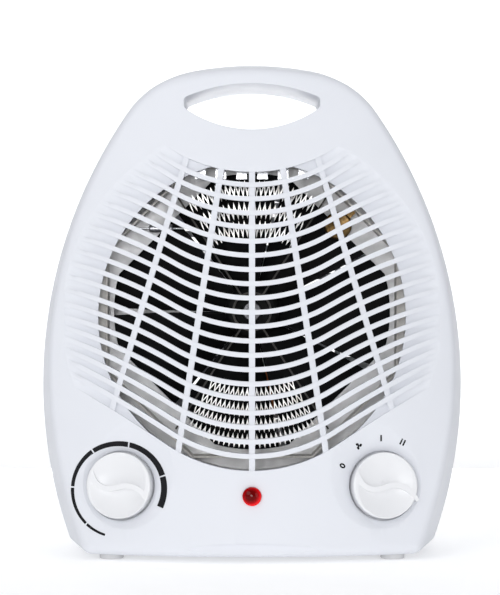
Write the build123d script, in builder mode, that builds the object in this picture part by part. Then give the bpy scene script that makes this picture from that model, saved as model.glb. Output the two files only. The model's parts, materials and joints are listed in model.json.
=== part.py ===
import os
from math import asin, atan2, cos, degrees, hypot, pi, radians, sin, sqrt

from build123d import *

os.makedirs("parts", exist_ok=True)

# Fan convector heater, millimetres, +Z up, the front faces -Y, the feet stand on z = 0.

# Body
TOP = 248.5          # floor to the top of the handle
BASE = 2.5           # underside of the casing, held off the floor by the feet
PART_Y = 5.0         # plane where the front and rear covers meet
WALL = 2.2           # moulded wall
TURNS = (10.4, 55.7, 109.4)  # headings where the outline arcs hand over, degrees
MID_RADII = (167.0, 54.0, 245.0, 6.0)    # crown, shoulder, flank and corner at the parting plane
FRONT_RADII = (203.0, 32.0, 212.0, 6.0)  # the same arcs on the front construction plane
BACK_RADII = (190.0, 38.0, 226.0, 6.0)   # the same arcs on the back construction plane
FRONT_TOP = 237.5
BACK_TOP = 236.0
FRONT_PLANE = -65.0
BACK_PLANE = 67.0

# Front face, a barrel that leans back
FACE_AXIS = 195.0    # the upright axis the face is turned about
FACE_BOW = 2000.0    # radius of the upright bow of the face
FACE_LEAN = 6.8      # lean at mid height, degrees
FACE_MID = (-45.5, 126.0)

# Back face
BACK_AXIS = -195.0
BACK_Y = 55.8
BACK_BEND = 105.0    # above this height the back curves forward to the handle
BACK_BOW = 270.0

# Handle opening
GRIP_HALF = 34.0
GRIP_TOP = 235.8
GRIP_END_TOP = 228.8
GRIP_END_LOW = 223.8
GRIP_LOW = 212.4

# Outlet grille
FAN_Z = 122.0        # height of the fan axis
EYE_Z = 120.2        # centre of the round outlet
EYE_R = 76.5
DISH_R = 95.0        # the sides of the outlet are dished out to this radius
DISH = 3.6
SLATS = 20
SLAT_TOP = 184.7
SLAT_PITCH = 7.0
SLAT_T = 2.4
SLAT_DEEP = 4.2
SLAT_R = 76.0
PANEL_TOP = 191.1
PANEL_LOW = 44.7
RIB_T = 3.0
RIB_BACK = 0.9       # the ribs sit this far behind the slat fronts

# Controls
KNOB_X = 65.0
KNOB_Z = 37.0
KNOB_TURN = 11.0     # the control pockets face outwards by this much, degrees
KNOB_R = 16.2
KNOB_H = 8.0
POCKET = 6.5         # depth of the pocket floor below the face
POCKET_R = 17.2
LAMP_Z = 32.5
LAMP_R = 4.55

# Air path
DUCT_R = 82.0        # outside of the duct
DUCT_T = 1.6
DUCT_FRONT = -22.0
DUCT_BACK = 20.0
SHAFT_R = 2.5

DEPTH = 115.0        # lamp lens to cord gland

# Fixings
POST_R = 4.2
DUCT_SPOTS = ((62.2, 62.2), (-62.2, 62.2), (62.2, -62.2), (-62.2, -62.2))
SCREW_SPOTS = ((82.0, 17.0), (84.5, 152.0), (50.0, 216.0))
FOOT_X = 69.5
FRONT_FOOT_Y = -34.0
BACK_FOOT_Y = 32.0


def outline_arcs(top, radii, inset):
    """Right half of a body outline as (start, middle, end) arcs, crown to base."""
    crown, shoulder, flank, corner = [r - inset for r in radii]
    base = BASE + inset
    a, b, c = [radians(t) for t in TURNS]
    fall = crown * (1 - cos(a)) + shoulder * (cos(a) - cos(b)) + flank * cos(b)
    skirt = (top - inset - base - fall - corner * (cos(c) + 1)) / -cos(c)
    x, z = 0.0, top - inset
    arcs = []
    spans = ((crown, 0, a), (shoulder, a, b), (flank, b, pi / 2), (skirt, pi / 2, c), (corner, c, pi))
    for r, t0, t1 in spans:
        tm = (t0 + t1) / 2
        mid = (x + r * (sin(tm) - sin(t0)), z + r * (cos(tm) - cos(t0)))
        end = (x + r * (sin(t1) - sin(t0)), z + r * (cos(t1) - cos(t0)))
        arcs.append(((x, z), mid, end))
        x, z = end
    return arcs


def outline_face(y, top, radii, inset=0.0):
    """Body outline as a face on the upright plane at depth y."""
    arcs = outline_arcs(top, radii, inset)
    with BuildSketch(Plane.XZ.offset(-y)) as face:
        with BuildLine():
            (sx, sz), (mx, mz), (ex, ez) = arcs[0]
            ThreePointArc((-ex, ez), (0, sz), (ex, ez))
            for start, mid, end in arcs[1:]:
                ThreePointArc(start, mid, end)
                ThreePointArc((-start[0], start[1]), (-mid[0], mid[1]), (-end[0], end[1]))
            foot = arcs[-1][2]
            Line((-foot[0], foot[1]), foot)
        make_face()
    return face.sketch.faces()[0]


def face_centre():
    """Centre of the upright bow of the front face in the middle plane."""
    lean = radians(FACE_LEAN)
    return FACE_MID[0] + FACE_BOW * cos(lean), FACE_MID[1] - FACE_BOW * sin(lean)


def face_y(x, z, depth=0.0):
    """Depth of the front face at x, z, or of a surface lying inside it."""
    cy, cz = face_centre()
    reach = FACE_AXIS - cy + sqrt((FACE_BOW - depth) ** 2 - (z - cz) ** 2)
    return FACE_AXIS - sqrt(reach ** 2 - x ** 2)


def barrel(depth=0.0):
    """Solid of revolution whose front is the face, moved in by depth."""
    low, mid, high = -20.0, 120.0, 270.0
    with BuildPart() as body:
        with BuildSketch(Plane.YZ):
            with BuildLine():
                ThreePointArc((face_y(0, low, depth), low), (face_y(0, mid, depth), mid),
                              (face_y(0, high, depth), high))
                Polyline((face_y(0, high, depth), high), (FACE_AXIS, high), (FACE_AXIS, low),
                         (face_y(0, low, depth), low))
            make_face()
        revolve(axis=Axis((0, FACE_AXIS, 0), (0, 0, 1)))
    return body.part


def back_drum(depth=0.0):
    """Solid of revolution whose back is the rear face, moved in by depth."""
    low, high = -20.0, 262.0
    r = BACK_BOW - depth
    y = BACK_Y - depth
    top_y = y - r + sqrt(r ** 2 - (high - BACK_BEND) ** 2)
    half = (high - BACK_BEND) / 2
    mid_y = y - r + sqrt(r ** 2 - half ** 2)
    with BuildPart() as body:
        with BuildSketch(Plane.YZ):
            with BuildLine():
                Line((y, low), (y, BACK_BEND))
                ThreePointArc((y, BACK_BEND), (mid_y, BACK_BEND + half), (top_y, high))
                Polyline((top_y, high), (BACK_AXIS, high), (BACK_AXIS, low), (y, low))
            make_face()
        revolve(axis=Axis((0, BACK_AXIS, 0), (0, 0, 1)))
    return body.part


def front_form(inset=0.0, soften=0.0):
    """Solid block of the front cover, moved in by inset."""
    with BuildPart() as form:
        add(outline_face(PART_Y, TOP, MID_RADII, inset))
        add(outline_face(FRONT_PLANE, FRONT_TOP, FRONT_RADII, inset))
        loft(ruled=True)
        add(barrel(inset), mode=Mode.INTERSECT)
        if soften:
            rim = [e for e in form.edges() if e.center().Y < PART_Y - 12 and is_rim(e, inset)]
            fillet(rim, soften)
    return form.part


def is_rim(edge, inset):
    """True for an edge that runs along the front face."""
    spots = [edge.position_at(t) for t in (0.1, 0.5, 0.9)]
    return all(abs(p.Y - face_y(p.X, p.Z, inset)) < 0.2 for p in spots)


def grip_face(margin=0.0):
    """Handle opening seen from the front, grown by margin."""
    half = GRIP_HALF + margin
    with BuildSketch(Plane.XZ) as face:
        with BuildLine():
            ThreePointArc((-half, GRIP_END_TOP + margin), (0, GRIP_TOP + margin), (half, GRIP_END_TOP + margin))
            Line((half, GRIP_END_TOP + margin), (half, GRIP_END_LOW - margin / 2))
            ThreePointArc((half, GRIP_END_LOW - margin / 2), (0, GRIP_LOW - margin), (-half, GRIP_END_LOW - margin / 2))
            Line((-half, GRIP_END_LOW - margin / 2), (-half, GRIP_END_TOP + margin))
        make_face()
        fillet(face.vertices(), 2.4 + margin)
    return face.sketch.faces()[0]


def bar(face, y0, y1):
    """Upright face extruded along the depth from y0 to y1."""
    with BuildPart() as body:
        extrude(to_extrude=face.moved(Location((0, y1, 0))), amount=y1 - y0, dir=(0, -1, 0))
    return body.part


def disc(x, z, r, y0, y1):
    """Round bar along the depth from y0 to y1."""
    with BuildPart() as body:
        with BuildSketch(Plane.XZ.offset(-y1)):
            with Locations((x, z)):
                Circle(r)
        extrude(amount=y1 - y0)
    return body.part


def tube(x, z, r, hole, y0, y1):
    """Round sleeve along the depth from y0 to y1."""
    with BuildPart() as body:
        with BuildSketch(Plane.XZ.offset(-y1)):
            with Locations((x, z)):
                Circle(r)
                Circle(hole, mode=Mode.SUBTRACT)
        extrude(amount=y1 - y0)
    return body.part


def block(x0, x1, y0, y1, z0, z1):
    """Rectangular block between two corners."""
    with BuildPart() as body:
        with Locations(((x0 + x1) / 2, (y0 + y1) / 2, (z0 + z1) / 2)):
            Box(x1 - x0, y1 - y0, z1 - z0)
    return body.part


def slat_bends(step):
    """Heading where a slat starts to straighten and how fast it does, for step 0 at the top to 1."""
    high = max(0.0, 1 - step / 0.1)
    low = max(0.0, (step - 0.72) / 0.28)
    heading = radians(30 + 6 * high + 2.5 * low)
    ease = radians(0.28 - 0.24 * high - 0.17 * low)
    return heading, 1 / max(ease, radians(0.02))


def slat_line(z, step, shift, reach=60.0):
    """Centre line of a slat moved up by shift, as (start, middle, end) arcs of its right half."""
    heading, outer_r = slat_bends(step)
    inner_r = SLAT_R - shift
    outer_r += shift
    top = z + SLAT_R
    arcs = []
    for t0, t1 in ((0.0, heading / 2), (heading / 2, heading)):
        tm = (t0 + t1) / 2
        spots = [(inner_r * sin(t), top - inner_r * cos(t)) for t in (t0, tm, t1)]
        arcs.append(tuple(spots))
    x, z1 = arcs[-1][2]
    last = heading - reach / (outer_r - shift)
    spots = []
    for t in (heading, (heading + last) / 2, last):
        spots.append((x + outer_r * (sin(heading) - sin(t)), z1 + outer_r * (cos(t) - cos(heading))))
    arcs.append(tuple(spots))
    return arcs


def add_line(arcs):
    """Draw a slat line and its mirror image inside a BuildLine block."""
    (_, _, (ex, ez)) = arcs[0]
    ThreePointArc((-ex, ez), arcs[0][0], (ex, ez))
    for start, mid, end in arcs[1:]:
        ThreePointArc(start, mid, end)
        ThreePointArc((-start[0], start[1]), (-mid[0], mid[1]), (-end[0], end[1]))


def band_face(low, high):
    """Face between two slat lines, each given as its arcs."""
    with BuildSketch(Plane.XZ) as face:
        with BuildLine():
            add_line(low)
            add_line(high)
            for side in (-1, 1):
                Line((side * low[-1][2][0], low[-1][2][1]), (side * high[-1][2][0], high[-1][2][1]))
        make_face()
    return face.sketch.faces()[0]


def dish_block(extra):
    """Everything in front of the dished surface round the outlet, pushed back by extra."""
    step = 19.5
    count = 11
    rows = []
    for i in range(count):
        z = EYE_Z + (i - count // 2) * step
        row = []
        for j in range(count):
            x = (j - count // 2) * step
            r2 = x ** 2 + (z - EYE_Z) ** 2
            sink = DISH * (DISH_R ** 2 - r2) / (DISH_R ** 2 - EYE_R ** 2)
            row.append(Vector(x, face_y(x, z) + sink + extra, z))
        rows.append(row)
    skin = Face.make_surface_from_array_of_points(rows)
    with BuildPart() as body:
        add(skin)
        extrude(amount=60, dir=(0, -1, 0))
    return body.part


def knob_plane(side):
    """Frame on the pocket floor of a control, Z pointing out of the front."""
    turn = radians(KNOB_TURN)
    lean = radians(FACE_LEAN)
    out = Vector(side * sin(turn), -cos(turn) * cos(lean), cos(turn) * sin(lean))
    floor = Vector(side * KNOB_X, face_y(KNOB_X, KNOB_Z), KNOB_Z) - out * POCKET
    across = Vector(cos(turn), side * sin(turn) * cos(lean), 0)
    return Plane(origin=floor, x_dir=across, z_dir=out)


def funnel(plane, grow):
    """Pocket round a control, or the block behind it when grown by a wall."""
    r = POCKET_R + grow
    with BuildPart() as body:
        with BuildSketch(Plane.XZ):
            with BuildLine():
                Polyline((0, -grow), (r, -grow), (r, POCKET - 3.4 - grow / 3))
                Spline((r, POCKET - 3.4 - grow / 3), (r + 3.0, POCKET - 1.4), (r + 8.0, POCKET + 0.2),
                       (r + 15.0, POCKET + 1.6))
                Polyline((r + 15.0, POCKET + 1.6), (r + 15.0, 30), (0, 30), (0, -grow))
            make_face()
        revolve(axis=Axis.Z)
    return body.part.moved(plane.location)


print("front cover")
top_edge = slat_line(PANEL_TOP, -0.05, 0.0)
low_edge = slat_line(PANEL_LOW, 1.05, 0.0)
mouth_bar = bar(band_face(low_edge, top_edge), -75, 0)
eye_bar = disc(0, EYE_Z, EYE_R, -75, 0)

with BuildPart() as dish_backing:
    add(dish_block(WALL))
    add(disc(0, EYE_Z, DISH_R + 1.5, -75, 0), mode=Mode.INTERSECT)
    add(bar(band_face(slat_line(PANEL_LOW, 1.05, -WALL), slat_line(PANEL_TOP, -0.05, WALL)), -75, 0),
        mode=Mode.INTERSECT)

with BuildPart() as dish_cut:
    add(dish_block(0.0))
    add(disc(0, EYE_Z, DISH_R - 0.3, -75, 0), mode=Mode.INTERSECT)
    add(mouth_bar, mode=Mode.INTERSECT)

with BuildPart() as front_room:
    add(front_form(WALL, 3.0))
    add(bar(grip_face(WALL), -75, PART_Y + 1), mode=Mode.SUBTRACT)
    add(dish_backing.part, mode=Mode.SUBTRACT)
    for side in (-1, 1):
        add(funnel(knob_plane(side), WALL), mode=Mode.SUBTRACT)
    for x, z in SCREW_SPOTS:
        add(disc(x, z, POST_R, -60, PART_Y + 1), mode=Mode.SUBTRACT)
        add(disc(-x, z, POST_R, -60, PART_Y + 1), mode=Mode.SUBTRACT)
    for x, z in DUCT_SPOTS:
        add(disc(x, FAN_Z + z, POST_R, -60, DUCT_FRONT - 0.1), mode=Mode.SUBTRACT)
    add(tube(0, FAN_Z, DUCT_R + 1.5, DUCT_R - DUCT_T, -60, DUCT_FRONT - 0.1), mode=Mode.SUBTRACT)
    with Locations((0, face_y(0, BASE) + 6, BASE)):
        Box(108, 14, 8, align=(Align.CENTER, Align.CENTER, Align.MIN), mode=Mode.SUBTRACT)

with BuildPart() as front_body:
    add(front_form(0.0, 6.0))
    add(front_room.part, mode=Mode.SUBTRACT)
    add(dish_cut.part, mode=Mode.SUBTRACT)
    add(bar(grip_face(), -75, PART_Y + 1), mode=Mode.SUBTRACT)
    for side in (-1, 1):
        add(funnel(knob_plane(side), 0.0), mode=Mode.SUBTRACT)
    add(eye_bar & mouth_bar, mode=Mode.SUBTRACT)


def slat_bar(index):
    """One grille slat, bowed like the front."""
    step = index / (SLATS - 1)
    z = SLAT_TOP - index * SLAT_PITCH
    low = slat_line(z, step, -SLAT_T / 2)
    high = slat_line(z, step, SLAT_T / 2)
    with BuildPart() as body:
        add(bar(band_face(low, high), -75, 0))
        add(slat_zone, mode=Mode.INTERSECT)
    return body.part


def rib_bar(x_high, x_low):
    """One straight rib that ties the slats together."""
    lean = (x_low - x_high) / 121.0
    with BuildPart() as body:
        with BuildSketch(Plane.XZ):
            spots = [(x_high - 15 * lean, 206), (x_low + 40 * lean, 30)]
            half = RIB_T / 2
            Polygon([(spots[0][0] - half, 206), (spots[0][0] + half, 206), (spots[1][0] + half, 30),
                     (spots[1][0] - half, 30)], align=None)
        extrude(amount=75)
        add(rib_zone, mode=Mode.INTERSECT)
    return body.part


SLAT_IN = 0.15
RIBS = ((0.0, 0.0), (15.5, 33.6), (34.7, 70.1))  # half spacing of the ribs at z 191 and z 70

slat_reach = disc(0, EYE_Z, DISH_R + 1.2, -75, 0)
slat_zone = (barrel(SLAT_IN) - barrel(SLAT_IN + SLAT_DEEP)) & slat_reach
rib_reach = bar(band_face(slat_line(PANEL_LOW, 1.05, -2.4), slat_line(PANEL_TOP, -0.05, 2.4)), -75, 0)
rib_zone = (barrel(SLAT_IN + RIB_BACK) - barrel(SLAT_IN + SLAT_DEEP + 0.7)) & rib_reach

slats = [slat_bar(i) for i in range(SLATS)]
ribs = [rib_bar(0.0, 0.0)]
for x_high, x_low in RIBS[1:]:
    ribs.append(rib_bar(x_high, x_low))
    ribs.append(rib_bar(-x_high, -x_low))

SCREW_R = 1.6        # shank of the case and duct screws
FIT = 0.05           # clearance of a shank in its pilot hole
BUSH_R = 5.0         # thermostat bush
SPINDLE_R = 3.0      # control spindles
FLOOR = 2.2          # thickness of the pocket floor
SWITCH_HOLES = ((6.8, 6.8), (-6.8, -6.8))

with BuildSketch(Plane.XZ) as arch:
    with BuildLine():
        ThreePointArc((-50, 3.6), (0, 9.6), (50, 3.6))
        Polyline((50, 3.6), (50, -3), (-50, -3), (-50, 3.6))
    make_face()

with BuildPart() as front_cover:
    add(front_body.part)
    add(bar(arch.sketch.faces()[0], -75, face_y(0, BASE) + 2.6), mode=Mode.SUBTRACT)
    add(disc(0, LAMP_Z, LAMP_R + 0.1, -75, -40), mode=Mode.SUBTRACT)
    for x, z in SCREW_SPOTS:
        for side in (-1, 1):
            add(disc(side * x, z, SCREW_R + FIT, PART_Y - 15, PART_Y + 1), mode=Mode.SUBTRACT)
    for x, z in DUCT_SPOTS:
        add(disc(x, FAN_Z + z, 1.25, DUCT_FRONT - 3.4, DUCT_FRONT), mode=Mode.SUBTRACT)
    with BuildSketch(knob_plane(-1)):
        Circle(BUSH_R + 0.1)
    extrude(amount=FLOOR + 1, both=True, mode=Mode.SUBTRACT)
    with BuildSketch(knob_plane(1)):
        Circle(SPINDLE_R + 0.6)
        with Locations(*SWITCH_HOLES):
            Circle(1.5)
    extrude(amount=FLOOR + 1, both=True, mode=Mode.SUBTRACT)
    with BuildSketch(Plane.XY):
        with Locations((-FOOT_X, FRONT_FOOT_Y), (FOOT_X, FRONT_FOOT_Y)):
            Circle(2.5)
    extrude(amount=BASE + WALL + 1, mode=Mode.SUBTRACT)
    add(ribs + slats, clean=False)
front_cover.part.label = "front_cover"
export_step(front_cover.part, "parts/front_cover.step")

print("rear cover")


def back_y(x, z, depth=0.0):
    """Depth of the rear face at x, z, or of a surface lying inside it."""
    r = BACK_BOW - depth
    y = BACK_Y - depth - r + sqrt(r ** 2 - max(0.0, z - BACK_BEND) ** 2)
    return BACK_AXIS + sqrt((y - BACK_AXIS) ** 2 - x ** 2)


def is_back_rim(edge, inset):
    """True for an edge that runs along the rear face."""
    spots = [edge.position_at(t) for t in (0.1, 0.5, 0.9)]
    return all(abs(p.Y - back_y(p.X, p.Z, inset)) < 0.2 for p in spots)


def back_form(inset, soften):
    """Solid block of the rear cover, moved in by inset."""
    with BuildPart() as form:
        add(outline_face(PART_Y, TOP, MID_RADII, inset))
        add(outline_face(BACK_PLANE, BACK_TOP, BACK_RADII, inset))
        loft(ruled=True)
        add(back_drum(inset), mode=Mode.INTERSECT)
        rim = [e for e in form.edges() if is_back_rim(e, inset) and not crosses(e)]
        fillet(rim, soften)
    return form.part


def crosses(edge):
    """True for the seam edge that runs straight across the rear face."""
    a, b = edge.position_at(0), edge.position_at(1)
    return abs(a.Z - BACK_BEND) < 0.5 and abs(b.Z - BACK_BEND) < 0.5


INTAKE_R = 60.0
INTAKE_PITCH = 7.5
INTAKE_GAP = 4.2
GLAND_Z = 22.0
WELL_R = 3.8
WELL_Y = 11.0

with BuildPart() as back_room:
    add(back_form(WALL, 4.0))
    add(bar(grip_face(WALL), PART_Y - 1, 70), mode=Mode.SUBTRACT)
    for x, z in SCREW_SPOTS:
        for side in (-1, 1):
            add(disc(side * x, z, WELL_R + 1.5, PART_Y - 1, 70), mode=Mode.SUBTRACT)

with BuildSketch(Plane.XZ) as intake:
    rows = int(INTAKE_R / INTAKE_PITCH)
    with Locations(*[(0, FAN_Z + i * INTAKE_PITCH) for i in range(-rows, rows + 1)]):
        Rectangle(2 * INTAKE_R, INTAKE_GAP)
    with Locations((0, FAN_Z)):
        Circle(INTAKE_R, mode=Mode.INTERSECT)
    with Locations((0, FAN_Z), (-24, FAN_Z), (24, FAN_Z), (-46, FAN_Z), (46, FAN_Z)):
        Rectangle(3.0, 2 * INTAKE_R + 10, mode=Mode.SUBTRACT)
intake_cut = extrude(intake.sketch.moved(Location((0, 70, 0))), amount=40, dir=(0, -1, 0))

with BuildPart() as rear_cover:
    add(back_form(0.0, 7.0))
    add(back_room.part, mode=Mode.SUBTRACT)
    add(bar(grip_face(), PART_Y - 1, 70), mode=Mode.SUBTRACT)
    for x, z in SCREW_SPOTS:
        for side in (-1, 1):
            add(disc(side * x, z, WELL_R, WELL_Y, 70), mode=Mode.SUBTRACT)
            add(disc(side * x, z, SCREW_R + 0.3, PART_Y - 1, WELL_Y + 1), mode=Mode.SUBTRACT)
    add(disc(0, GLAND_Z, 5.1, 45, 70), mode=Mode.SUBTRACT)
    with BuildSketch(Plane.XY):
        with Locations((-FOOT_X, BACK_FOOT_Y), (FOOT_X, BACK_FOOT_Y)):
            Circle(2.5)
    extrude(amount=BASE + WALL + 1, mode=Mode.SUBTRACT)
    add(intake_cut, mode=Mode.SUBTRACT)
rear_cover.part.label = "rear_cover"
export_step(rear_cover.part, "parts/rear_cover.step")

print("feet and screws")

with BuildPart() as rubber_feet:
    for y in (FRONT_FOOT_Y, BACK_FOOT_Y):
        for x in (-FOOT_X, FOOT_X):
            with Locations((x, y, 0)):
                Cylinder(6.0, BASE, align=(Align.CENTER, Align.CENTER, Align.MIN))
            with Locations((x, y, BASE)):
                Cylinder(2.45, WALL + 0.6, align=(Align.CENTER, Align.CENTER, Align.MIN))
    chamfer(rubber_feet.edges().group_by(Axis.Z)[0], 0.5)
rubber_feet.part.label = "rubber_feet"
export_step(rubber_feet.part, "parts/rubber_feet.step")


def pan_screw(x, z, y_head, length, r, head_r, toward=-1):
    """Pan head screw along the depth; the head seats at y_head and the shank runs toward -Y or +Y."""
    with BuildPart() as body:
        with BuildSketch(Plane.XZ.offset(-y_head)):
            Circle(r)
        extrude(amount=-toward * length)
        with BuildSketch(Plane.XZ.offset(-y_head)):
            Circle(head_r)
        extrude(amount=toward * 0.62 * head_r)
        crown = body.edges().filter_by(GeomType.CIRCLE).sort_by(Axis.Y)
        tip = crown[-1] if toward < 0 else crown[0]
        fillet(tip, 0.4 * head_r)
        face_at = y_head - toward * 0.62 * head_r
        with Locations((0, face_at, 0)):
            Box(0.9, 1.6, 2 * head_r, mode=Mode.SUBTRACT)
            Box(2 * head_r, 1.6, 0.9, mode=Mode.SUBTRACT)
    return body.part.moved(Location((x, 0, z)))


with BuildPart() as case_screws:
    for x, z in SCREW_SPOTS:
        for side in (-1, 1):
            add(pan_screw(side * x, z, WELL_Y, 20.0, SCREW_R, 3.3))
case_screws.part.label = "case_screws"
export_step(case_screws.part, "parts/case_screws.step")

with BuildPart() as cord_gland:
    add(disc(0, GLAND_Z, 5.0, 52.0, BACK_Y + 1))
    add(disc(0, GLAND_Z, 7.5, 51.6, BACK_Y - WALL - 0.3))
    add(disc(0, GLAND_Z, 8.0, BACK_Y + 0.1, DEPTH / 2))
    rim = cord_gland.edges().filter_by(GeomType.CIRCLE).sort_by(Axis.Y)[-1]
    fillet(rim, 0.8)
    add(disc(0, GLAND_Z, 3.4, 50, 70), mode=Mode.SUBTRACT)
cord_gland.part.label = "cord_gland"
export_step(cord_gland.part, "parts/cord_gland.step")

with BuildPart() as terminal_block:
    add(block(-46, -14, 22, 34, BASE + WALL, 15.0))
    for i in range(3):
        with Locations((-40.0 + 10 * i, 28, 15.0)):
            Hole(2.2, 5.0)
    for i in range(2):
        add(block(-35.6 + 10 * i, -34.4 + 10 * i, 21, 35, 9.0, 16.0), mode=Mode.SUBTRACT)
terminal_block.part.label = "terminal_block"
export_step(terminal_block.part, "parts/terminal_block.step")

with BuildPart() as terminal_screws:
    with Locations(*[(-40.0 + 10 * i, 28, 10.2) for i in range(3)]):
        Cylinder(2.0, 3.4, align=(Align.CENTER, Align.CENTER, Align.MIN))
    with Locations(*[(-40.0 + 10 * i, 28, 13.6) for i in range(3)]):
        Box(4.4, 0.7, 1.4, mode=Mode.SUBTRACT)
terminal_screws.part.label = "terminal_screws"
export_step(terminal_screws.part, "parts/terminal_screws.step")

print("controls")


# The S-shaped ridge across a knob: a hollow bend, a straight middle and a crown bend.
RIDGE_HOLLOW = (-7.2, 4.8, 9.0)    # centre x, y and radius
RIDGE_CROWN = (8.4, -9.7, 12.0)
RIDGE_HALF = 1.3                   # half the width of the ridge
RIDGE_START = 225.0                # angle on the hollow bend where the ridge runs straight
RIDGE_END = 55.0                   # angle on the crown bend where the ridge runs straight
SCOOP_R = 36.0
SCOOP_DEEP = 3.0


def along(angle, length):
    """Step of a given length at an angle to the X axis."""
    return Vector(length * cos(radians(angle)), length * sin(radians(angle)))


def ridge_ground(shift, far):
    """All the ground on one side of the knob's ridge, out to a far line beyond the rim."""
    x1, y1, r1 = RIDGE_HOLLOW
    x2, y2, r2 = RIDGE_CROWN
    slope = degrees(asin((r1 + r2) / hypot(x2 - x1, y2 - y1)) + atan2(y2 - y1, x2 - x1))
    with BuildSketch() as ground:
        with BuildLine():
            hollow = CenterArc((x1, y1), r1 + shift, RIDGE_START, 270 + slope - RIDGE_START)
            crown = CenterArc((x2, y2), r2 - shift, 90 + slope, RIDGE_END - 90 - slope)
            Line(hollow @ 1, crown @ 0)
            left = hollow @ 0 + along(RIDGE_START - 90, 20)
            right = crown @ 1 + along(RIDGE_END - 90, 20)
            Polyline(hollow @ 0, left, Vector(left.X, far), Vector(right.X, far), right, crown @ 1)
        make_face()
    return ground.sketch


def finger_scoop(x, y, shift, far):
    """Round hollow for a fingertip, cut off straight by one side of the ridge."""
    with BuildPart() as scoop:
        with Locations((x, y, SCOOP_R + KNOB_H - SCOOP_DEEP)):
            Sphere(SCOOP_R)
        with BuildSketch():
            add(ridge_ground(shift, far))
        extrude(amount=60, mode=Mode.INTERSECT)
    return scoop.part


upper_scoop = finger_scoop(-1.2, 1.4, -RIDGE_HALF, 40)
lower_scoop = finger_scoop(1.2, -1.4, RIDGE_HALF, -40)


def knob_cap(turn, tip):
    """Control knob round the Z axis with an S-shaped ridge between two finger scoops."""
    x, y, r = RIDGE_CROWN
    rim = Vector(x, y) + along(RIDGE_END, r)
    with BuildPart() as cap:
        with BuildSketch():
            Circle(KNOB_R)
        extrude(amount=KNOB_H)
        fillet(cap.faces().sort_by(Axis.Z)[-1].edges(), 0.9)
        with BuildSketch():
            Circle(13.6)
        extrude(amount=2.6, mode=Mode.SUBTRACT)
        with BuildSketch():
            Circle(SPINDLE_R + 0.02)
        extrude(amount=4.2, mode=Mode.SUBTRACT)
        add(upper_scoop, mode=Mode.SUBTRACT)
        add(lower_scoop, mode=Mode.SUBTRACT)
        if tip:
            side = RIDGE_END
            root = rim + along(side - 90, -1.6)
            end = rim + along(side - 90, 3.1)
            corners = [root + along(side, 1.3), end + along(side, 0.8)]
            corners += [end - along(side, 0.8), root - along(side, 1.3)]
            with BuildSketch(Plane.XY.offset(KNOB_H - 3.0)):
                Polygon(corners, align=None)
            extrude(amount=2.8)
    return cap.part.rotate(Axis.Z, turn).moved(Location((0, 0, 0.5)))


KNOB_FRAME_L = knob_plane(-1)
KNOB_FRAME_R = knob_plane(1)

with BuildPart() as thermostat_knob:
    add(knob_cap(-23.0, False).moved(KNOB_FRAME_L.location))
thermostat_knob.part.label = "thermostat_knob"
export_step(thermostat_knob.part, "parts/thermostat_knob.step")

with BuildPart() as selector_knob:
    add(knob_cap(-20.5, True).moved(KNOB_FRAME_R.location))
selector_knob.part.label = "selector_knob"
export_step(selector_knob.part, "parts/selector_knob.step")


def local_round(plane, r, z0, z1, x=0.0, y=0.0):
    """Round bar along the Z of a control frame."""
    with BuildPart() as body:
        with BuildSketch(plane.offset(z0)):
            with Locations((x, y)):
                Circle(r)
        extrude(amount=z1 - z0)
    return body.part


def local_block(plane, x0, x1, y0, y1, z0, z1):
    """Rectangular block in a control frame."""
    return block(x0, x1, y0, y1, z0, z1).moved(plane.location)


with BuildPart() as thermostat_shaft:
    add(local_round(KNOB_FRAME_L, SPINDLE_R, -7.7, 4.5))
thermostat_shaft.part.label = "thermostat_shaft"
export_step(thermostat_shaft.part, "parts/thermostat_shaft.step")

with BuildPart() as thermostat_frame:
    add(local_round(KNOB_FRAME_L, BUSH_R, -4.0, 2.8))
    add(local_block(KNOB_FRAME_L, -12, 12, -9, 9, -4.0, -2.4))
    add(local_block(KNOB_FRAME_L, -12, -10.4, -9, 9, -17.0, -4.0))
    add(local_round(KNOB_FRAME_L, SPINDLE_R + 0.06, -5.0, 4.0), mode=Mode.SUBTRACT)
thermostat_frame.part.label = "thermostat_frame"
export_step(thermostat_frame.part, "parts/thermostat_frame.step")

with BuildPart() as thermostat_nut:
    with BuildSketch(KNOB_FRAME_L.offset(0.1)):
        RegularPolygon(6.4, 6, major_radius=False)
        Circle(BUSH_R + 0.02, mode=Mode.SUBTRACT)
    extrude(amount=2.2)
thermostat_nut.part.label = "thermostat_nut"
export_step(thermostat_nut.part, "parts/thermostat_nut.step")

with BuildPart() as thermostat_insulators:
    for low, high in ((-8.0, -4.1), (-12.4, -9.0), (-16.8, -13.4)):
        add(local_block(KNOB_FRAME_L, -10.2, -3.6, -5, 5, low, high))
thermostat_insulators.part.label = "thermostat_insulators"
export_step(thermostat_insulators.part, "parts/thermostat_insulators.step")

with BuildPart() as thermostat_blades:
    for low in (-8.9, -13.3):
        add(local_block(KNOB_FRAME_L, -10.2, 13.0, -3, 3, low, low + 0.8))
        add(local_block(KNOB_FRAME_L, -10.2, -8.0, 4.9, 12.0, low, low + 0.8))
        add(local_block(KNOB_FRAME_L, -10.2, -8.0, -3.1, 5.0, low, low + 0.8))
    add(local_round(KNOB_FRAME_L, 1.6, -10.4, -8.8, 10.5, 0))
    add(local_round(KNOB_FRAME_L, 1.6, -12.6, -11.0, 10.5, 0))
thermostat_blades.part.label = "thermostat_blades"
export_step(thermostat_blades.part, "parts/thermostat_blades.step")

with BuildPart() as selector_shaft:
    add(local_round(KNOB_FRAME_R, SPINDLE_R, -12.0, 4.5))
selector_shaft.part.label = "selector_shaft"
export_step(selector_shaft.part, "parts/selector_shaft.step")

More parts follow.
